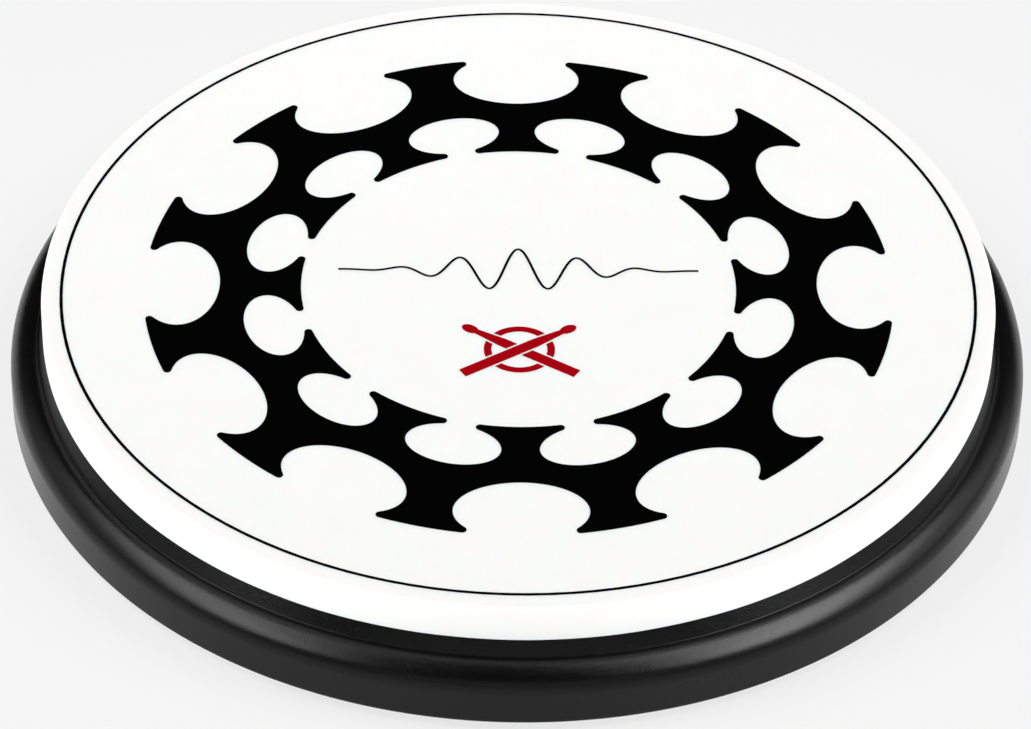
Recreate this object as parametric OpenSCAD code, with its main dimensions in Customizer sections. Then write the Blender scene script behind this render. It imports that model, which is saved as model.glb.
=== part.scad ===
// Practice pad: a solid rubber playing disc glued on a stepped round board,
// with a non-slip mat under it and an ink print on its playing face.
// Millimetres, +Z up. The origin is the centre of the mat's underside.

/* [Board] */
// Outer diameter of the board's rim
board_d = 304.8; // [304:0.2:312]
// Thickness of the board, from its underside to the plateau under the pad
board_h = 22.5; // [20:0.5:30]
// Height of the plateau above the step's foot
step_h = 4.7; // [3:0.1:6]
// Radius of the rounded shoulder, from the step down to the rim
shoulder_r = 7.2; // [6:0.1:7.5]
// How far outside the step's foot the shoulder has its crest
crest_in = 1.1; // [0.5:0.1:2]
// Chamfer around the underside of the rim
foot_chamfer = 0.8; // [0.3:0.1:2]

/* [Playing pad] */
// Diameter of the playing pad
pad_d = 284.8; // [280:0.2:285]
// Thickness of the playing pad
pad_t = 12; // [6:0.5:16]
// Radius of the pad's upper edge
pad_edge_r = 1.4; // [0.5:0.1:3]
// How far the plateau stops short of the pad's edge
pad_overhang = 1; // [0.1:0.1:3]

/* [Mat and adhesive] */
// Diameter of the non-slip mat
mat_d = 280; // [240:1:290]
// Thickness of the non-slip mat
mat_t = 2; // [1:0.1:4]
// Radius of the mat's lower edge
mat_edge_r = 0.4; // [0.2:0.1:0.8]
// Thickness of each adhesive film
glue_t = 0.2; // [0.1:0.05:0.4]
// How far each adhesive film stops short of the piece that it holds
glue_margin = 1; // [0.5:0.1:3]

/* [Print] */
// Thickness of the ink
ink_t = 0.1; // [0.05:0.05:0.2]
// Radius of the thin border ring, at the middle of its line
border_r = 136.4; // [125:0.1:136.4]
// Width of the border ring's line
border_w = 0.95; // [0.5:0.05:1.2]
// Number of teeth around the toothed ring
teeth = 12; // [8:1:12]
// Outer radius of the toothed ring
ring_outer_r = 112; // [108:0.5:120]
// Inner radius of the toothed ring
ring_inner_r = 65; // [60:0.5:68]
// Radius of the circle through the outer gaps' centres
outer_gap_at = 101.5; // [100:0.1:104]
// Half length of an outer gap, along the ring
outer_gap_a = 19.6; // [15:0.1:21]
// Half width of an outer gap, across the ring
outer_gap_b = 12.3; // [10:0.1:13]
// Radius of the circle through the inner gaps' centres
inner_gap_at = 75.1; // [74:0.1:76]
// Half length of an inner gap, along the ring
inner_gap_a = 14.2; // [10:0.1:15]
// Half width of an inner gap, across the ring
inner_gap_b = 8.6; // [6:0.1:9]
// Radius that rounds the tips of the teeth
tip_r = 1.2; // [0.4:0.1:1.3]
// Distance of the wave line from the centre, towards the far side
wave_y = 7; // [5:1:20]
// Length of the wave line
wave_len = 108; // [96:1:116]
// Number of full waves along the line
waves = 6; // [3:1:6]
// Height of the tallest wave above the middle of the line
wave_amp = 10; // [4:1:11]
// Width of the wave line
wave_w = 0.75; // [0.4:0.05:0.9]
// Distance of the crossed sticks from the centre, towards the near side
sticks_y = 30; // [24:1:40]
// Length of each printed stick
stick_len = 40; // [30:1:46]
// Width of a printed stick at its butt
stick_w = 3.6; // [2.5:0.1:4.5]
// Slope of the printed sticks, in degrees
stick_tilt = 33; // [25:1:45]
// Outer radius of the printed drum ring behind the sticks
drum_ring_r = 10.5; // [9:0.5:12]
// Width of the clear gap around the upper stick
stick_gap = 0.7; // [0.4:0.1:1.2]

/* [Hidden] */

$fn = 180;
board_r = board_d / 2;
pad_r = pad_d / 2;
mat_r = mat_d / 2;

// Levels of the stack, from the surface it rests on
mat_top = mat_t;
board_z = mat_top + glue_t;
plateau_z = board_z + board_h;
pad_z = plateau_z + glue_t;
face_z = pad_z + pad_t;

// Board section: the sloped step, its foot and the rounded shoulder
plateau_r = pad_r - pad_overhang;
crease_r = board_r - shoulder_r - crest_in;
crease_z = board_h - step_h;
wall_top = crease_z - sqrt(pow(shoulder_r, 2) - pow(crest_in, 2));

gap_pitch = 360 / teeth;
ring_sides = 240;
gap_sides = 60;
tip_sides = 16;

wave_steps = waves * 26;
wave_fade = wave_len / 4.4;
slope_span = 0.02;

neck_w = stick_w * 0.5;
taper_len = stick_len * 0.22;
bead_len = stick_w * 1.5;
bead_w = stick_w * 0.95;
drum_ring_w = stick_w * 0.62;

// Points of an ellipse with half lengths a along X and b along Y
function ellipse(a, b, sides) =
    [for (i = [0 : sides - 1]) [a * cos(360 * i / sides), b * sin(360 * i / sides)]];

// Height of the wave line at x: a sine wave that fades out towards both ends
function wave_at(x) =
    wave_amp * exp(-pow(x / wave_fade, 2)) * cos(360 * waves * x / wave_len);

// Slope angle of the wave line at x
function wave_slope(x) =
    atan2(wave_at(x + slope_span / 2) - wave_at(x - slope_span / 2), slope_span);

// Points along one side of the wave line, half a line width away from its middle
function wave_side(side) = [
    for (i = [0 : wave_steps])
        let (x = wave_len * (i / wave_steps - 0.5), slope = wave_slope(x), off = side * wave_w / 2)
            [x - off * sin(slope), wave_at(x) + off * cos(slope)]
];

function reversed(points) = [for (i = [len(points) - 1 : -1 : 0]) points[i]];

// Half section of the board, standing on Z = 0
module board_section() {
    polygon([
        [0, 0],
        [board_r - foot_chamfer, 0],
        [board_r, foot_chamfer],
        [board_r, wall_top],
        [crease_r, wall_top],
        [crease_r, crease_z],
        [plateau_r, board_h],
        [0, board_h],
    ]);
    translate([board_r - shoulder_r, wall_top]) circle(shoulder_r);
}

// Half section of a disc of radius r and thickness t, its upper edge rounded by edge
module disc_section(r, t, edge) {
    square([r - edge, t]);
    square([r, t - edge]);
    translate([r - edge, t - edge]) circle(edge);
}

module ring_of_gaps(at, a, b, start) {
    for (k = [0 : teeth - 1])
        rotate(start + k * gap_pitch) translate([0, at]) polygon(ellipse(a, b, gap_sides));
}

module toothed_ring() {
    difference() {
        circle(ring_outer_r, $fn = ring_sides);
        circle(ring_inner_r, $fn = ring_sides);
        ring_of_gaps(outer_gap_at, outer_gap_a, outer_gap_b, 0);
        ring_of_gaps(inner_gap_at, inner_gap_a, inner_gap_b, gap_pitch / 2);
    }
}

// A drumstick lying along X with its bead at +X, grown all round by extra
module stick(extra) {
    neck_x = stick_len / 2 - bead_len;
    taper_x = neck_x - taper_len;
    polygon([
        [-stick_len / 2 - extra, -stick_w / 2 - extra],
        [taper_x, -stick_w / 2 - extra],
        [neck_x + bead_len / 4, -neck_w / 2 - extra],
        [neck_x + bead_len / 4, neck_w / 2 + extra],
        [taper_x, stick_w / 2 + extra],
        [-stick_len / 2 - extra, stick_w / 2 + extra],
    ]);
    translate([stick_len / 2 - bead_len / 2, 0])
        polygon(ellipse(bead_len / 2 + extra, bead_w / 2 + extra, gap_sides));
}

module upper_stick(extra) {
    rotate(stick_tilt) stick(extra);
}

module lower_stick(extra) {
    rotate(180 - stick_tilt) stick(extra);
}

module crossed_sticks() {
    upper_stick(0);
    difference() {
        lower_stick(0);
        upper_stick(stick_gap);
    }
    difference() {
        circle(drum_ring_r);
        circle(drum_ring_r - drum_ring_w);
        upper_stick(stick_gap);
        lower_stick(stick_gap);
    }
}

module base_board() {
    color([0.08, 0.08, 0.085]) translate([0, 0, board_z]) rotate_extrude() board_section();
}

module playing_pad() {
    color([0.96, 0.96, 0.94]) translate([0, 0, pad_z])
        rotate_extrude() disc_section(pad_r, pad_t, pad_edge_r);
}

module pad_adhesive() {
    color([0.78, 0.74, 0.6]) translate([0, 0, plateau_z])
        cylinder(h = glue_t, r = plateau_r - glue_margin);
}

module base_mat() {
    color([0.15, 0.15, 0.15]) translate([0, 0, mat_top]) mirror([0, 0, 1])
        rotate_extrude() disc_section(mat_r, mat_t, mat_edge_r);
}

module mat_adhesive() {
    color([0.78, 0.74, 0.6]) translate([0, 0, mat_top])
        cylinder(h = glue_t, r = mat_r - glue_margin);
}

module ring_print() {
    color([0.03, 0.03, 0.03]) translate([0, 0, face_z]) linear_extrude(ink_t)
        offset(r = tip_r, $fn = tip_sides) offset(delta = -tip_r) toothed_ring();
}

module border_print() {
    color([0.03, 0.03, 0.03]) translate([0, 0, face_z]) linear_extrude(ink_t) difference() {
        circle(border_r + border_w / 2);
        circle(border_r - border_w / 2);
    }
}

module wave_print() {
    color([0.03, 0.03, 0.03]) translate([0, wave_y, face_z]) linear_extrude(ink_t)
        polygon(concat(wave_side(1), reversed(wave_side(-1))));
}

module sticks_print() {
    color([0.62, 0.03, 0.06]) translate([0, -sticks_y, face_z]) linear_extrude(ink_t)
        crossed_sticks();
}

base_board();
playing_pad();
pad_adhesive();
base_mat();
mat_adhesive();
ring_print();
border_print();
wave_print();
sticks_print();
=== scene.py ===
import math

import bmesh
import bpy
from mathutils import Matrix, Vector


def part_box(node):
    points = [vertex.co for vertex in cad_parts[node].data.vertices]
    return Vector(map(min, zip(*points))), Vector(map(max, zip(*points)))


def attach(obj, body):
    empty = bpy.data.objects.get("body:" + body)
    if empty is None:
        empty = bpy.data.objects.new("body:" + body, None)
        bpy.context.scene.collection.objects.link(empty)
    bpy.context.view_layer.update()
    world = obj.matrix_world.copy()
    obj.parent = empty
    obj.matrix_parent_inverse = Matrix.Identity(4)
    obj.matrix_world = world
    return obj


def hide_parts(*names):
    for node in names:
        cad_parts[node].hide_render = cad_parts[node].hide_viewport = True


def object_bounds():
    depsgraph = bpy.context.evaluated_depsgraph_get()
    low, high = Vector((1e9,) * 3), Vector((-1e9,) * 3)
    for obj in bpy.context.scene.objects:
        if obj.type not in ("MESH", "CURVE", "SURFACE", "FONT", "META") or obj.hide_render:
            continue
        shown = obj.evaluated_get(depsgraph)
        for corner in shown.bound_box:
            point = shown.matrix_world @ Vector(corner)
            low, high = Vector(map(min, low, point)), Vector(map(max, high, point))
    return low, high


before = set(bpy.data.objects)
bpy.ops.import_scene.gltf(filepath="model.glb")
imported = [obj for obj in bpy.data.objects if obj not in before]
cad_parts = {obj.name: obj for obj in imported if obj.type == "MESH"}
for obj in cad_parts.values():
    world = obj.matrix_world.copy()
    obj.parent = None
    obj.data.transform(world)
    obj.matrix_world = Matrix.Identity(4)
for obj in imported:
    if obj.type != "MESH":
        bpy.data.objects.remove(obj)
CAD_LOW, CAD_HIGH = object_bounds()

MM = 0.001
QUARTER = math.pi / 2
BODY = "root"
BLACK_PRINTS = ("ring_print", "border_print", "wave_print")
RED_PRINT = "sticks_print"
GLUE_FILMS = ("pad_adhesive", "mat_adhesive")

# Board section, as the CAD board has it
PLATEAU_R = 141.4 * MM
STEP_H = 4.7 * MM
SHOULDER_R = 7.2 * MM
CREST_IN = 1.1 * MM
FOOT_R = 0.8 * MM
# Where the lacquer softens its edges
PLATEAU_EDGE_R = 0.4 * MM
CREASE_R = 0.15 * MM

# Rounded edges of the rubber pieces
PAD_EDGE_R = 1.4 * MM
PAD_FOOT_R = 0.35 * MM
MAT_TOP_R = 0.2 * MM
MAT_EDGE_R = 0.4 * MM
# Unevenness of the disc's moulded edge: how much, the share of the radius where it starts,
# and its waves, each with its part of the whole, its count round the rim and its phase
RIPPLE = 0.09 * MM
RIPPLE_FROM = 0.97
RIPPLE_WAVES = ((0.5, 5, 0.4), (0.3, 13, 1.9), (0.2, 29, 3.1))

# Meshes: sides of a turned piece, and how close to a corner its support points lie
SEGMENTS = 384
SUPPORT_GAP = 0.3 * MM
SUPPORT_SHARE = 0.25

# Noise: its roughness, and the range that holds most of its values
NOISE_ROUGHNESS = 0.55
NOISE_LOW = 0.3
NOISE_HIGH = 0.7
# A pit in the lacquer starts at the first value of its noise, and is whole at the second
PIT_START = 0.66
PIT_WHOLE = 0.72

# Camera: it aims at a point on the playing face
AIM_X = -1.2 * MM
AIM_Y = -36.85 * MM
DISTANCE = 1.547
ELEVATION = math.radians(40.15)
AZIMUTH = math.radians(-1.1)
ROLL = math.radians(1.05)
LENS = 184.0
SENSOR = 36.0

# Floor
FLOOR_R = 6.0
FLOOR_SIDES = 96
FLOOR_DROP = 0.2 * MM
# Glow of the floor and of the surround, as the object meets it and as the camera sees it
FLOOR_GLOW = 0.67
FLOOR_SEEN = 0.77
SURROUND = 0.03
BACKDROP = 0.78

# Lights on the black pieces: side, then how far across the key stands, and the radiances
# of the key and of the panel beside it
BLACK_SIDES = (("left", -1, 0.75, 5.4, 0.7), ("right", 1, 0.65, 8.8, 1.3))
KEY_SLANT = math.radians(20)
# Each key is three lights, one over another, so that it fades towards its edge
KEY_SIZES = ((1.25, 0.36), (1.45, 0.50), (1.65, 0.64))
# Lights on the white pieces
FILLS = 4
FILL_ELEVATION = math.radians(9)


# ---------------------------------------------------------------- outlines and meshes

def arc(centre_r, centre_z, radius, start, end, steps):
    """Points (r, z) along an arc, from one angle to the other, in radians."""
    angles = [start + (end - start) * i / steps for i in range(steps + 1)]
    return [(centre_r + radius * math.cos(a), centre_z + radius * math.sin(a)) for a in angles]


def straight(*corners):
    """An outline through the corners, with a support point close to each end of each run."""
    points = []
    for a, b in zip(corners, corners[1:]):
        near = min(SUPPORT_SHARE, SUPPORT_GAP / math.dist(a, b))
        points.append(a)
        points += [(a[0] + (b[0] - a[0]) * t, a[1] + (b[1] - a[1]) * t) for t in (near, 1 - near)]
    return points + [corners[-1]]


def new_piece(name, bm):
    """A smooth-shaded object, in the scene, from a bmesh that it uses up."""
    mesh = bpy.data.meshes.new(name)
    bmesh.ops.recalc_face_normals(bm, faces=bm.faces)
    bm.to_mesh(mesh)
    bm.free()
    mesh.polygons.foreach_set("use_smooth", [True] * len(mesh.polygons))
    piece = bpy.data.objects.new(name, mesh)
    bpy.context.scene.collection.objects.link(piece)
    return piece


def ring_of(bm, r, z, ripple):
    """Vertices round the axis at radius r and height z, or one vertex on the axis."""
    if r == 0:
        return [bm.verts.new((0, 0, z))]
    turns = [2 * math.pi * i / SEGMENTS for i in range(SEGMENTS)]
    return [bm.verts.new((ripple(r, a) * math.cos(a), ripple(r, a) * math.sin(a), z)) for a in turns]


def skin(bm, a, b):
    """Faces between two neighbouring rings, either of which may be a single point."""
    for i in range(SEGMENTS):
        j = (i + 1) % SEGMENTS
        if len(a) == 1:
            bm.faces.new((a[0], b[i], b[j]))
        elif len(b) == 1:
            bm.faces.new((a[i], a[j], b[0]))
        else:
            bm.faces.new((a[i], a[j], b[j], b[i]))


def lathe(name, outline, ripple=lambda r, a: r):
    """A closed solid of revolution whose (r, z) outline runs from the axis back to the axis."""
    bm = bmesh.new()
    rings = [ring_of(bm, r, z, ripple) for r, z in outline]
    for a, b in zip(rings, rings[1:]):
        skin(bm, a, b)
    return new_piece(name, bm)


# ---------------------------------------------------------------- pieces

def board_outline(low, high):
    """The board's half section, from the middle of its underside round to its plateau."""
    r, bottom, top = high.x, low.z, high.z
    crease_r, crease_z = r - SHOULDER_R - CREST_IN, top - STEP_H
    shoulder_z = crease_z - math.sqrt(SHOULDER_R**2 - CREST_IN**2)
    # The step's wall leans in from upright, which sets how far in the rounding above it stands
    lean = math.atan2(crease_r - PLATEAU_R, STEP_H)
    inset = (1 - math.sin(lean)) / math.cos(lean)
    rim_r = PLATEAU_R - PLATEAU_EDGE_R * inset
    hollow_r, hollow_z, turn = hollow_centre(crease_r, crease_z, lean, r - SHOULDER_R, shoulder_z)

    foot = arc(r - FOOT_R, bottom + FOOT_R, FOOT_R, -QUARTER, 0, steps=5)
    shoulder = arc(r - SHOULDER_R, shoulder_z, SHOULDER_R, 0, turn, steps=36)
    hollow = arc(hollow_r, hollow_z, CREASE_R, math.pi + turn, math.pi + lean, steps=12)
    rim = arc(rim_r, top - PLATEAU_EDGE_R, PLATEAU_EDGE_R, lean, QUARTER, steps=5)
    return [
        *straight((0, bottom), foot[0]),
        *foot[1:-1],
        *straight(foot[-1], shoulder[0]),
        *shoulder[1:],
        *hollow[1:-1],
        *straight(hollow[-1], rim[0]),
        *rim[1:-1],
        *straight(rim[-1], (0, top)),
    ]


def hollow_centre(crease_r, crease_z, lean, shoulder_r, shoulder_z):
    """Centre of the arc that softens the crease, and the angle at which it meets the shoulder.

    The centre is CREASE_R from the step's wall, and SHOULDER_R + CREASE_R from the shoulder's centre.
    """
    along = Vector((-math.sin(lean), math.cos(lean)))
    off = Vector((math.cos(lean), math.sin(lean))) * CREASE_R
    shoulder = Vector((shoulder_r, shoulder_z))
    start = Vector((crease_r, crease_z)) + off - shoulder
    half = start.dot(along)
    climb = math.sqrt(half**2 - start.length_squared + (SHOULDER_R + CREASE_R)**2) - half
    reach = start + along * climb
    return (*(shoulder + reach), math.atan2(reach.y, reach.x))


def disc_outline(low, high, top_r, foot_r):
    """A disc's half section, with both its edges rounded."""
    r, bottom, top = high.x, low.z, high.z
    foot = arc(r - foot_r, bottom + foot_r, foot_r, -QUARTER, 0, steps=6)
    edge = arc(r - top_r, top - top_r, top_r, 0, QUARTER, steps=10)
    return [
        *straight((0, bottom), foot[0]),
        *foot[1:-1],
        *straight(foot[-1], edge[0]),
        *edge[1:-1],
        *straight(edge[-1], (0, top)),
    ]


def moulded(rim):
    """The slight unevenness of a moulded rubber edge, whole at radius rim and none further in."""
    inner = RIPPLE_FROM * rim

    def ripple(r, a):
        share = max(0, (r - inner) / (rim - inner))
        wave = sum(part * math.sin(count * a + phase) for part, count, phase in RIPPLE_WAVES)
        return r + share * wave * RIPPLE

    return ripple


def make_board():
    piece = lathe("board_lacquered", board_outline(*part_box("base_board")))
    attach(piece, BODY)
    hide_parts("base_board")
    return piece


def make_pad():
    low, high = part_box("playing_pad")
    outline = disc_outline(low, high, PAD_EDGE_R, PAD_FOOT_R)
    piece = lathe("playing_disc", outline, moulded(high.x))
    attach(piece, BODY)
    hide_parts("playing_pad")
    return piece


def make_mat():
    outline = disc_outline(*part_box("base_mat"), MAT_TOP_R, MAT_EDGE_R)
    piece = lathe("foam_mat", outline)
    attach(piece, BODY)
    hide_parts("base_mat")
    return piece


# ---------------------------------------------------------------- materials

class Paint:
    """One node material: a Principled shader and short calls that add nodes to it."""

    # Sockets of a Mix node that mixes colours
    MIX_FIRST, MIX_SECOND, MIX_RESULT = 6, 7, 2

    def __init__(self, name):
        self.material = bpy.data.materials.new(name)
        self.material.use_nodes = True
        self.tree = self.material.node_tree
        self.shader = self.tree.nodes["Principled BSDF"]
        self.place = self.node("ShaderNodeTexCoord").outputs["Object"]

    def node(self, kind, **settings):
        made = self.tree.nodes.new(kind)
        for key, value in settings.items():
            setattr(made, key, value)
        return made

    def link(self, source, target):
        self.tree.links.new(source, target)

    def set(self, **values):
        """Uniform values, set on the shader's own sockets."""
        for key, value in values.items():
            self.shader.inputs[key.replace("_", " ")].default_value = value

    def noise(self, scale, detail):
        """Noise with about scale features to the metre."""
        made = self.node("ShaderNodeTexNoise")
        made.inputs["Scale"].default_value = scale
        made.inputs["Detail"].default_value = detail
        made.inputs["Roughness"].default_value = NOISE_ROUGHNESS
        self.link(self.place, made.inputs["Vector"])
        return made.outputs["Fac"]

    def cells(self, scale):
        """Distance to the nearest of scattered points, about scale of them to the metre."""
        made = self.node("ShaderNodeTexVoronoi")
        made.inputs["Scale"].default_value = scale
        self.link(self.place, made.inputs["Vector"])
        return made.outputs["Distance"]

    def span(self, value, low, high, to_low, to_high):
        """Carry the range low to high over to the range to_low to to_high."""
        made = self.node("ShaderNodeMapRange")
        for key, number in (("From Min", low), ("From Max", high), ("To Min", to_low), ("To Max", to_high)):
            made.inputs[key].default_value = number
        self.link(value, made.inputs["Value"])
        return made.outputs["Result"]

    def spread(self, noise, low, high):
        """Spread the usual values of a noise over the range low to high."""
        return self.span(noise, NOISE_LOW, NOISE_HIGH, low, high)

    def add(self, first, second):
        made = self.node("ShaderNodeMath", operation="ADD")
        self.link(first, made.inputs[0])
        self.link(second, made.inputs[1])
        return made.outputs["Value"]

    def mix(self, share, first, second):
        """A colour between first and second, as share goes from 0 to 1."""
        made = self.node("ShaderNodeMix", data_type="RGBA")
        self.link(share, made.inputs["Factor"])
        made.inputs[self.MIX_FIRST].default_value = (*first, 1)
        made.inputs[self.MIX_SECOND].default_value = (*second, 1)
        return made.outputs[self.MIX_RESULT]

    def bump(self, height, depth, under=None):
        """A surface as uneven as height says, depth deep, over another such surface or none."""
        made = self.node("ShaderNodeBump")
        made.inputs["Distance"].default_value = depth
        self.link(height, made.inputs["Height"])
        if under is not None:
            self.link(under, made.inputs["Normal"])
        return made.outputs["Normal"]

    def finish(self, colour, roughness=None, normal=None):
        for key, value in (("Base Color", colour), ("Roughness", roughness), ("Normal", normal)):
            if value is not None:
                self.link(value, self.shader.inputs[key])
        return self.material


def lacquer():
    """Satin black lacquer: a fine grain, faint dull patches, and pits that show as small dull dots."""
    paint = Paint("satin_black_lacquer")
    paint.set(Specular_IOR_Level=0.25)
    pits = paint.noise(1700, 1.0)
    pitted = paint.span(pits, PIT_START, PIT_WHOLE, 0, 1)
    colour = paint.mix(pitted, (0.0009, 0.0008, 0.0008), (0.0025, 0.0025, 0.0025))
    patches = paint.spread(paint.noise(38, 4.0), 0.165, 0.205)
    roughness = paint.add(patches, paint.span(pits, PIT_START, PIT_WHOLE, 0, 0.08))
    peel = paint.bump(paint.noise(800, 2.0), 0.012 * MM)
    grain = paint.bump(paint.noise(2300, 2.0), 0.085 * MM, under=peel)
    return paint.finish(colour, roughness, grain)


def rubber():
    """White rubber: a soft sheen over a very fine tooth, faintly mottled."""
    paint = Paint("white_rubber")
    paint.set(Subsurface_Weight=0.25, Subsurface_Scale=4 * MM)
    colour = paint.mix(paint.noise(60, 5.0), (0.88, 0.88, 0.865), (0.91, 0.91, 0.90))
    roughness = paint.spread(paint.noise(120, 4.0), 0.50, 0.60)
    tooth = paint.bump(paint.noise(3200, 2.0), 0.012 * MM)
    return paint.finish(colour, roughness, tooth)


def foam():
    """Matt black foam rubber with small closed pores."""
    paint = Paint("black_foam_rubber")
    colour = paint.mix(paint.noise(90, 5.0), (0.016, 0.016, 0.017), (0.032, 0.032, 0.033))
    roughness = paint.spread(paint.noise(300, 3.0), 0.75, 0.92)
    pores = paint.bump(paint.cells(1100), 0.12 * MM)
    return paint.finish(colour, roughness, pores)


def ink(name, deep, light):
    """Screen ink: an even film with a faint grain and slightly uneven gloss."""
    paint = Paint(name)
    paint.set(Specular_IOR_Level=0.15)
    colour = paint.mix(paint.noise(500, 4.0), deep, light)
    roughness = paint.spread(paint.noise(220, 4.0), 0.19, 0.24)
    grain = paint.bump(paint.noise(3800, 2.0), 0.004 * MM)
    return paint.finish(colour, roughness, grain)


def glue():
    """Cured contact adhesive: amber, glossy and lumpy."""
    paint = Paint("contact_adhesive")
    colour = paint.mix(paint.noise(260, 4.0), (0.30, 0.23, 0.12), (0.48, 0.40, 0.24))
    roughness = paint.spread(paint.noise(400, 3.0), 0.25, 0.45)
    lumps = paint.bump(paint.noise(700, 3.0), 0.06 * MM)
    return paint.finish(colour, roughness, lumps)


def pale_floor():
    """A pale sweep, lit from within like a light table, that can't be seen from below."""
    paint = Paint("pale_floor")
    paint.set(Roughness=0.9, Specular_IOR_Level=0.0, Emission_Color=(1, 1, 1, 1))
    paint.finish(paint.mix(paint.noise(3, 2.0), (0.19, 0.19, 0.19), (0.21, 0.21, 0.21)))
    seen = paint.node("ShaderNodeLightPath").outputs["Is Camera Ray"]
    paint.link(paint.span(seen, 0, 1, FLOOR_GLOW, FLOOR_SEEN), paint.shader.inputs["Emission Strength"])
    below = paint.node("ShaderNodeNewGeometry").outputs["Backfacing"]
    sides = paint.node("ShaderNodeMixShader")
    paint.link(below, sides.inputs["Fac"])
    paint.link(paint.shader.outputs["BSDF"], sides.inputs[1])
    paint.link(paint.node("ShaderNodeBsdfTransparent").outputs["BSDF"], sides.inputs[2])
    paint.link(sides.outputs["Shader"], paint.tree.nodes["Material Output"].inputs["Surface"])
    paint.material.cycles.emission_sampling = "NONE"
    return paint.material


def wear(piece, material):
    """Give a piece this material and no other."""
    piece.data.materials.clear()
    piece.data.materials.append(material)


def dress(board, pad, mat):
    """A material for every piece and for every CAD node that stays in view."""
    wear(board, lacquer())
    wear(pad, rubber())
    wear(mat, foam())
    black = ink("black_screen_ink", (0.0003, 0.0003, 0.0003), (0.0008, 0.0007, 0.0006))
    red = ink("red_screen_ink", (0.50, 0.0004, 0.006), (0.55, 0.0006, 0.008))
    cured = glue()
    for node in BLACK_PRINTS:
        wear(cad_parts[node], black)
    wear(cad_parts[RED_PRINT], red)
    for node in GLUE_FILMS:
        wear(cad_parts[node], cured)


# ---------------------------------------------------------------- stage, lights and camera

def make_floor():
    bm = bmesh.new()
    bmesh.ops.create_circle(bm, cap_ends=True, segments=FLOOR_SIDES, radius=FLOOR_R)
    floor = new_piece("floor", bm)
    floor.location.z = CAD_LOW.z - FLOOR_DROP
    wear(floor, pale_floor())
    return floor


def softbox(name, lit, toward, distance, size, radiance, up=(0, 0, 1)):
    """A flat soft light on the group lit, in direction toward from the face, its height along up."""
    width, height = size
    data = bpy.data.lights.new(name, "AREA")
    data.shape = "RECTANGLE"
    data.size, data.size_y = width, height
    data.energy = radiance * math.pi * width * height
    lamp = bpy.data.objects.new(name, data)
    lamp.visible_camera = False
    lamp.light_linking.receiver_collection = lit
    bpy.context.scene.collection.objects.link(lamp)
    z = Vector(toward).normalized()
    x = Vector(up).cross(z).normalized()
    turn = Matrix((x, z.cross(x), z)).transposed().to_4x4()
    lamp.matrix_world = Matrix.Translation(Vector((0, 0, CAD_HIGH.z)) + z * distance) @ turn
    return lamp


def group(name, pieces):
    """A collection that a light can be linked to."""
    made = bpy.data.collections.new(name)
    for piece in pieces:
        made.objects.link(piece)
    return made


def light_black_pieces(lit):
    """A slanted key over each shoulder and a dim panel beside each, with a dark gap between the keys.

    A dim card faces the front wall, and a light under the floor shows the underside from below.
    """
    for name, side, across, key, panel in BLACK_SIDES:
        over, beside = (side * across, -0.20, 0.83), (side * 0.86, -0.08, 0.44)
        inward = (-side * math.cos(KEY_SLANT), -math.sin(KEY_SLANT), 0)
        for size in KEY_SIZES:
            softbox(f"key_{name}", lit, over, distance=1.3, size=size, radiance=key, up=inward)
        softbox(f"panel_{name}", lit, beside, distance=1.5, size=(2.2, 1.15), radiance=panel)
    softbox("front_card", lit, (0, -0.97, 0.22), distance=1.6, size=(2.0, 0.5), radiance=0.55)
    below = softbox("underlight", lit, (0, 0, -1), distance=1.2, size=(1.2, 1.2), radiance=2.5, up=(0, 1, 0))
    below.light_linking.blocker_collection = lit


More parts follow.
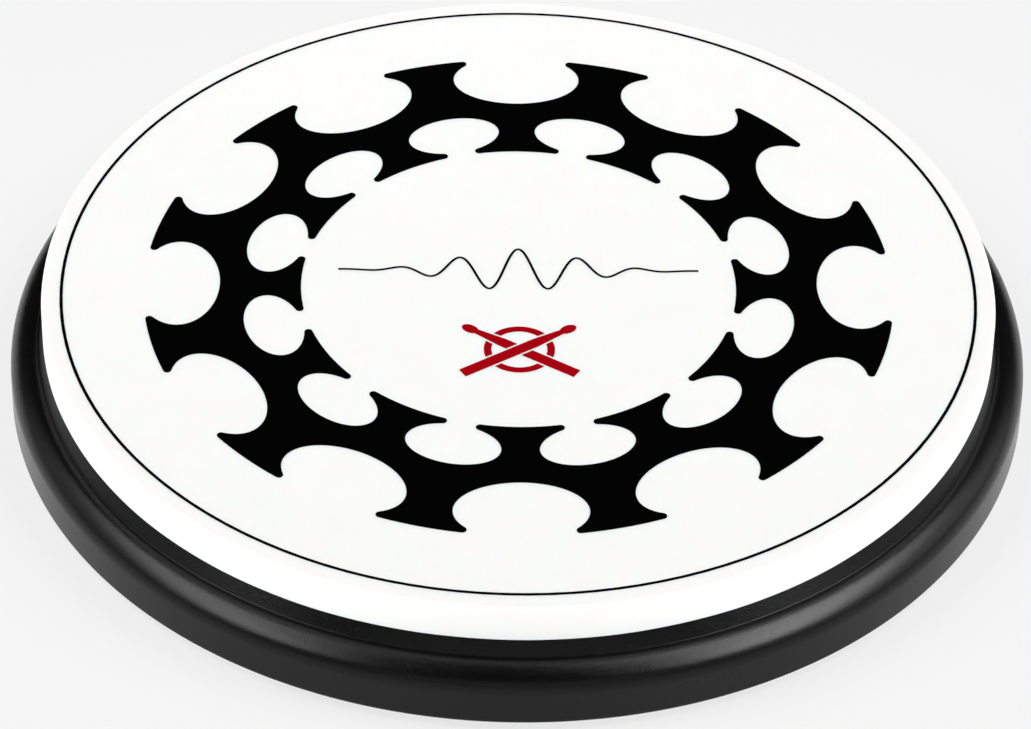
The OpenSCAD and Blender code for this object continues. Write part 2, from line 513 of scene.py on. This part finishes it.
def light_white_pieces(lit, pad_only):
    """Two broad overhead lights, and low ones all round that lift only the rubber's side."""
    for name, side in (("left", -1), ("right", 1)):
        overhead = (side * 0.6, 0, 0.8)
        softbox(f"overhead_{name}", lit, overhead, distance=1.3, size=(1.0, 1.0), radiance=2.78)
    flat = math.cos(FILL_ELEVATION)
    for k in range(FILLS):
        a = k * 2 * math.pi / FILLS
        low = (math.cos(a) * flat, math.sin(a) * flat, math.sin(FILL_ELEVATION))
        softbox(f"pad_fill_{k}", pad_only, low, distance=1.6, size=(0.9, 0.4), radiance=13)


def make_world():
    """A pale surround for the camera, and a dim even fill for the object."""
    world = bpy.data.worlds.new("surround")
    bpy.context.scene.world = world
    world.use_nodes = True
    nodes, links = world.node_tree.nodes, world.node_tree.links
    shade = nodes["Background"]
    path = nodes.new("ShaderNodeLightPath")
    strength = nodes.new("ShaderNodeMapRange")
    strength.inputs["To Min"].default_value = SURROUND
    strength.inputs["To Max"].default_value = BACKDROP
    links.new(path.outputs["Is Camera Ray"], strength.inputs["Value"])
    links.new(strength.outputs["Result"], shade.inputs["Strength"])
    shade.inputs["Color"].default_value = (1, 1, 1, 1)


def make_camera():
    data = bpy.data.cameras.new("camera")
    data.lens = LENS
    data.sensor_width = SENSOR
    camera = bpy.data.objects.new("camera", data)
    bpy.context.scene.collection.objects.link(camera)
    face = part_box("playing_pad")[1].z
    back = Vector((
        math.sin(AZIMUTH) * math.cos(ELEVATION),
        -math.cos(AZIMUTH) * math.cos(ELEVATION),
        math.sin(ELEVATION),
    ))
    camera.matrix_world = (
        Matrix.Translation(Vector((AIM_X, AIM_Y, face)) + back * DISTANCE)
        @ (-back).to_track_quat("-Z", "Y").to_matrix().to_4x4()
        @ Matrix.Rotation(ROLL, 4, "Z")
    )
    bpy.context.scene.camera = camera


# ---------------------------------------------------------------- the scene

make_camera()
board, pad, mat = make_board(), make_pad(), make_mat()
dress(board, pad, mat)
floor = make_floor()
thin = [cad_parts[node] for node in (*BLACK_PRINTS, RED_PRINT, *GLUE_FILMS)]
light_black_pieces(group("black_pieces", [board, mat]))
light_white_pieces(group("white_pieces", [pad, floor, *thin]), group("pad_only", [pad]))
make_world()
bpy.context.scene.view_settings.view_transform = "Standard"
